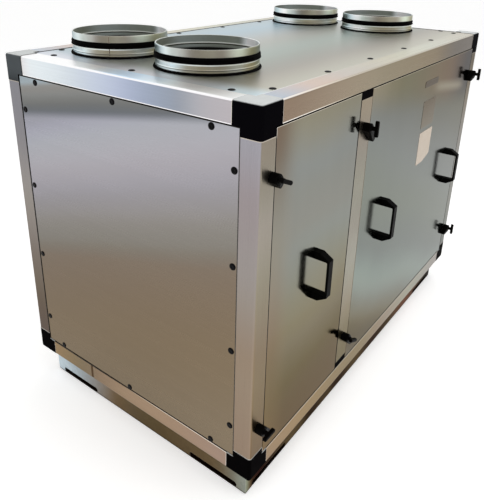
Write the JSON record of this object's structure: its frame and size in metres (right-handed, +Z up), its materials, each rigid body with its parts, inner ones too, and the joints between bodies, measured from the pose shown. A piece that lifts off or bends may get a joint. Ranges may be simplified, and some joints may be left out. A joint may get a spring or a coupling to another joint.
{
  "type": "air handling unit",
  "caption": "Compact air handling unit with round duct collars on its roof, lift-off doors held by screw latches, and a channel base frame.",
  "frame": {"origin": "centre of the whole unit's outline at floor level, handles included", "axes": "+X along the front towards the wide door, +Y from the doors to the back, +Z up; the doors face -Y"},
  "size_m": [1.742, 1.071, 1.35],
  "materials": {
    "base_steel": "galvanised",
    "profile_aluminium": "brushed",
    "corner_plastic": "gloss",
    "door_sheet": "galvanised satin",
    "end_sheet": "galvanised satin",
    "roof_sheet": "galvanised satin",
    "seal_rubber": "matte",
    "spigot_steel": "galvanised",
    "handle_plastic": "satin",
    "latch_plastic": "satin"
  },
  "bodies": {
    "housing": {"back_left_panel": "door_sheet", "back_left_post": "profile_aluminium", "back_left_spigot": "spigot_steel", "back_mullion": "profile_aluminium", "back_right_panel": "door_sheet", "back_right_post": "profile_aluminium", "back_right_spigot": "spigot_steel", "base_back_rail": "base_steel", "base_front_rail": "base_steel", "base_left_rail": "base_steel", "base_right_rail": "base_steel", "bottom_back_profile": "profile_aluminium", "bottom_corners": "corner_plastic", "bottom_front_profile": "profile_aluminium", "bottom_left_profile": "profile_aluminium", "bottom_right_profile": "profile_aluminium", "door_gaskets": "seal_rubber", "floor_panel": "door_sheet", "front_left_post": "profile_aluminium", "front_left_spigot": "spigot_steel", "front_mullion": "profile_aluminium", "front_right_post": "profile_aluminium", "front_right_spigot": "spigot_steel", "left_door": "door_sheet", "left_door_handle": "handle_plastic", "left_end_panel": "end_sheet", "mullion_connectors": "corner_plastic", "panel_seam_strips": "seal_rubber", "right_door": "door_sheet", "right_door_left_handle": "handle_plastic", "right_door_right_handle": "handle_plastic", "right_end_panel": "end_sheet", "roof_panel": "roof_sheet", "spigot_foot_rings": "seal_rubber", "spigot_lip_seals": "seal_rubber", "top_back_profile": "profile_aluminium", "top_corners": "corner_plastic", "top_front_profile": "profile_aluminium", "top_left_profile": "profile_aluminium", "top_right_profile": "profile_aluminium"},
    "left_upper_claw": {"left_upper_claw": "latch_plastic"},
    "left_upper_wing": {"left_upper_wing": "latch_plastic"},
    "left_lower_claw": {"left_lower_claw": "latch_plastic"},
    "left_lower_wing": {"left_lower_wing": "latch_plastic"},
    "middle_upper_claw": {"middle_upper_claw": "latch_plastic"},
    "middle_upper_wing": {"middle_upper_wing": "latch_plastic"},
    "middle_lower_claw": {"middle_lower_claw": "latch_plastic"},
    "middle_lower_wing": {"middle_lower_wing": "latch_plastic"},
    "right_upper_claw": {"right_upper_claw": "latch_plastic"},
    "right_upper_wing": {"right_upper_wing": "latch_plastic"},
    "right_lower_claw": {"right_lower_claw": "latch_plastic"},
    "right_lower_wing": {"right_lower_wing": "latch_plastic"}
  },
  "joints": [
    {"name": "left_upper_claw_swing", "type": "hinge", "parent": "housing", "child": "left_upper_claw", "pos_m": [-0.82, -0.4855, 1.091], "axis": [0, -1, 0], "range_deg": [-45, 135]},
    {"name": "left_upper_wing_turn", "type": "hinge", "parent": "left_upper_claw", "child": "left_upper_wing", "pos_m": [-0.82, -0.4855, 1.091], "axis": [0, -1, 0], "range_deg": [-180, 180]},
    {"name": "left_lower_claw_swing", "type": "hinge", "parent": "housing", "child": "left_lower_claw", "pos_m": [-0.838, -0.4855, 0.309], "axis": [0, -1, 0], "range_deg": [-45, 135]},
    {"name": "left_lower_wing_turn", "type": "hinge", "parent": "left_lower_claw", "child": "left_lower_wing", "pos_m": [-0.838, -0.4855, 0.309], "axis": [0, -1, 0], "range_deg": [-180, 180]},
    {"name": "middle_upper_claw_swing", "type": "hinge", "parent": "housing", "child": "middle_upper_claw", "pos_m": [-0.299, -0.4855, 1.1], "axis": [0, -1, 0], "range_deg": [-135, 45]},
    {"name": "middle_upper_wing_turn", "type": "hinge", "parent": "middle_upper_claw", "child": "middle_upper_wing", "pos_m": [-0.299, -0.4855, 1.1], "axis": [0, -1, 0], "range_deg": [-180, 180]},
    {"name": "middle_lower_claw_swing", "type": "hinge", "parent": "housing", "child": "middle_lower_claw", "pos_m": [-0.299, -0.4855, 0.309], "axis": [0, -1, 0], "range_deg": [-135, 45]},
    {"name": "middle_lower_wing_turn", "type": "hinge", "parent": "middle_lower_claw", "child": "middle_lower_wing", "pos_m": [-0.299, -0.4855, 0.309], "axis": [0, -1, 0], "range_deg": [-180, 180]},
    {"name": "right_upper_claw_swing", "type": "hinge", "parent": "housing", "child": "right_upper_claw", "pos_m": [0.82, -0.4855, 1.1], "axis": [0, -1, 0], "range_deg": [-135, 45]},
    {"name": "right_upper_wing_turn", "type": "hinge", "parent": "right_upper_claw", "child": "right_upper_wing", "pos_m": [0.82, -0.4855, 1.1], "axis": [0, -1, 0], "range_deg": [-180, 180]},
    {"name": "right_lower_claw_swing", "type": "hinge", "parent": "housing", "child": "right_lower_claw", "pos_m": [0.82, -0.4855, 0.309], "axis": [0, -1, 0], "range_deg": [-135, 45]},
    {"name": "right_lower_wing_turn", "type": "hinge", "parent": "right_lower_claw", "child": "right_lower_wing", "pos_m": [0.82, -0.4855, 0.309], "axis": [0, -1, 0], "range_deg": [-180, 180]}
  ]
}
